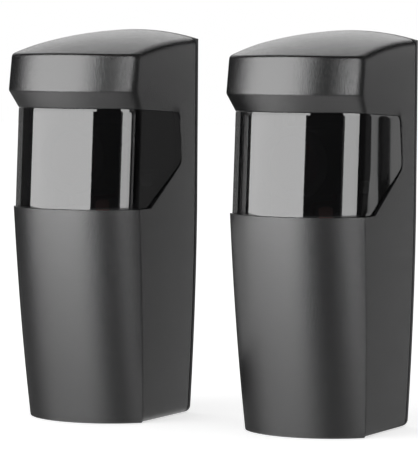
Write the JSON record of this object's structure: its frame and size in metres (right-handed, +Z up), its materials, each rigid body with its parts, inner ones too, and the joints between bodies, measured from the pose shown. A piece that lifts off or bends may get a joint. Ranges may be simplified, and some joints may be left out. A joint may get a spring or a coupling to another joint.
{
  "type": "infrared beam sensor pair",
  "caption": "Upright transmitter and receiver housings for an infrared beam detector, with smoked wraparound windows, hooded tops and swivelling lens barrels inside.",
  "frame": {"origin": "middle of the pair's bounding box, at the foot's level", "axes": "+Z up; -Y to the front, the way the windows face; +X from the transmitter to the receiver"},
  "size_m": [0.1274, 0.0588, 0.13],
  "materials": {
    "plate_plastic": "fine-textured moulded",
    "seal_rubber": "soft",
    "grommet_rubber": "soft",
    "cover_plastic": "fine-textured satin moulded",
    "smoked_window": "glossy, dark tinted, passes infrared",
    "screw_steel": "zinc plated",
    "nut_steel": "zinc plated",
    "bracket_plastic": "moulded",
    "clip_steel": "spring steel",
    "barrel_plastic": "moulded, non-reflecting",
    "lens_plastic": "clear polished, dark red",
    "emitter_plastic": "tinted epoxy",
    "photodiode_plastic": "black epoxy",
    "board_laminate": "solder mask",
    "lead_sleeve": "soft sleeve",
    "terminal_plastic": "moulded",
    "capacitor_can": "sleeved",
    "chip_plastic": "moulded",
    "lamp_plastic": "tinted epoxy",
    "plunger_plastic": "moulded",
    "jumper_plastic": "moulded",
    "relay_plastic": "moulded",
    "trimmer_plastic": "moulded"
  },
  "bodies": {
    "housing": {"tx_back_plate": "plate_plastic", "tx_gasket": "seal_rubber", "tx_cable_grommet": "grommet_rubber", "tx_optic_bracket": "bracket_plastic", "tx_bracket_screws": "screw_steel", "tx_optic_lead": "lead_sleeve", "tx_main_board": "board_laminate", "tx_board_screws": "screw_steel", "tx_terminal_block": "terminal_plastic", "tx_terminal_screws": "screw_steel", "tx_capacitor": "capacitor_can", "tx_driver_chip": "chip_plastic", "tx_status_led": "lamp_plastic", "tx_tamper_switch": "chip_plastic", "tx_range_pins": "chip_plastic", "rx_back_plate": "plate_plastic", "rx_gasket": "seal_rubber", "rx_cable_grommet": "grommet_rubber", "rx_optic_bracket": "bracket_plastic", "rx_bracket_screws": "screw_steel", "rx_optic_lead": "lead_sleeve", "rx_main_board": "board_laminate", "rx_board_screws": "screw_steel", "rx_terminal_block": "terminal_plastic", "rx_terminal_screws": "screw_steel", "rx_capacitor": "capacitor_can", "rx_signal_chip": "chip_plastic", "rx_status_led": "lamp_plastic", "rx_tamper_switch": "chip_plastic", "rx_relay": "relay_plastic", "rx_trimmer": "trimmer_plastic"},
    "tx_cover_body": {"tx_cover": "cover_plastic", "tx_window": "smoked_window", "tx_cover_nut": "nut_steel"},
    "tx_cover_screw_body": {"tx_cover_screw": "screw_steel"},
    "tx_turntable_body": {"tx_turntable": "bracket_plastic", "tx_turntable_clip": "clip_steel", "tx_head_lead": "lead_sleeve"},
    "tx_barrel_body": {"tx_barrel": "barrel_plastic", "tx_lens": "lens_plastic", "tx_lens_ring": "barrel_plastic", "tx_emitter": "emitter_plastic", "tx_optic_board": "board_laminate"},
    "tx_plunger_body": {"tx_tamper_plunger": "plunger_plastic"},
    "rx_cover_body": {"rx_cover": "cover_plastic", "rx_window": "smoked_window", "rx_cover_nut": "nut_steel"},
    "rx_cover_screw_body": {"rx_cover_screw": "screw_steel"},
    "rx_turntable_body": {"rx_turntable": "bracket_plastic", "rx_turntable_clip": "clip_steel", "rx_head_lead": "lead_sleeve"},
    "rx_barrel_body": {"rx_barrel": "barrel_plastic", "rx_lens": "lens_plastic", "rx_lens_ring": "barrel_plastic", "rx_photodiode": "photodiode_plastic", "rx_optic_board": "board_laminate"},
    "rx_plunger_body": {"rx_tamper_plunger": "plunger_plastic"},
    "tx_jumper_body": {"tx_range_jumper": "jumper_plastic"},
    "rx_rotor_body": {"rx_trimmer_rotor": "plunger_plastic"}
  },
  "joints": [
    {"name": "tx_cover_slide", "type": "slide", "parent": "housing", "child": "tx_cover_body", "axis": [0, -1, 0], "range_m": [0, 0.075]},
    {"name": "tx_cover_screw_turn", "type": "hinge", "parent": "tx_cover_body", "child": "tx_cover_screw_body", "pos_m": [-0.04, 0.0179, 0.004], "axis": [0, 0, 1], "continuous": true},
    {"name": "tx_pan_swivel", "type": "hinge", "parent": "housing", "child": "tx_turntable_body", "pos_m": [-0.04, -0.0006, 0.0679], "axis": [0, 0, 1], "range_deg": [-90, 90]},
    {"name": "tx_tilt_hinge", "type": "hinge", "parent": "tx_turntable_body", "child": "tx_barrel_body", "pos_m": [-0.04, -0.0006, 0.0875], "axis": [1, 0, 0], "range_deg": [-8, 8]},
    {"name": "tx_tamper_press", "type": "slide", "parent": "housing", "child": "tx_plunger_body", "axis": [0, 1, 0], "range_m": [0, 0.001], "stiffness_N_per_m": 120, "springref_m": -0.0012},
    {"name": "rx_cover_slide", "type": "slide", "parent": "housing", "child": "rx_cover_body", "axis": [0, -1, 0], "range_m": [0, 0.075]},
    {"name": "rx_cover_screw_turn", "type": "hinge", "parent": "rx_cover_body", "child": "rx_cover_screw_body", "pos_m": [0.04, 0.0179, 0.004], "axis": [0, 0, 1], "continuous": true},
    {"name": "rx_pan_swivel", "type": "hinge", "parent": "housing", "child": "rx_turntable_body", "pos_m": [0.04, -0.0006, 0.0679], "axis": [0, 0, 1], "range_deg": [-90, 90]},
    {"name": "rx_tilt_hinge", "type": "hinge", "parent": "rx_turntable_body", "child": "rx_barrel_body", "pos_m": [0.04, -0.0006, 0.0875], "axis": [1, 0, 0], "range_deg": [-8, 8]},
    {"name": "rx_tamper_press", "type": "slide", "parent": "housing", "child": "rx_plunger_body", "axis": [0, 1, 0], "range_m": [0, 0.001], "stiffness_N_per_m": 120, "springref_m": -0.0012},
    {"name": "tx_jumper_pull", "type": "slide", "parent": "housing", "child": "tx_jumper_body", "axis": [0, -1, 0], "range_m": [0, 0.008]},
    {"name": "rx_trimmer_turn", "type": "hinge", "parent": "housing", "child": "rx_rotor_body", "pos_m": [0.032, 0.0156, 0.0561], "axis": [0, 1, 0], "range_deg": [-135, 135]}
  ]
}
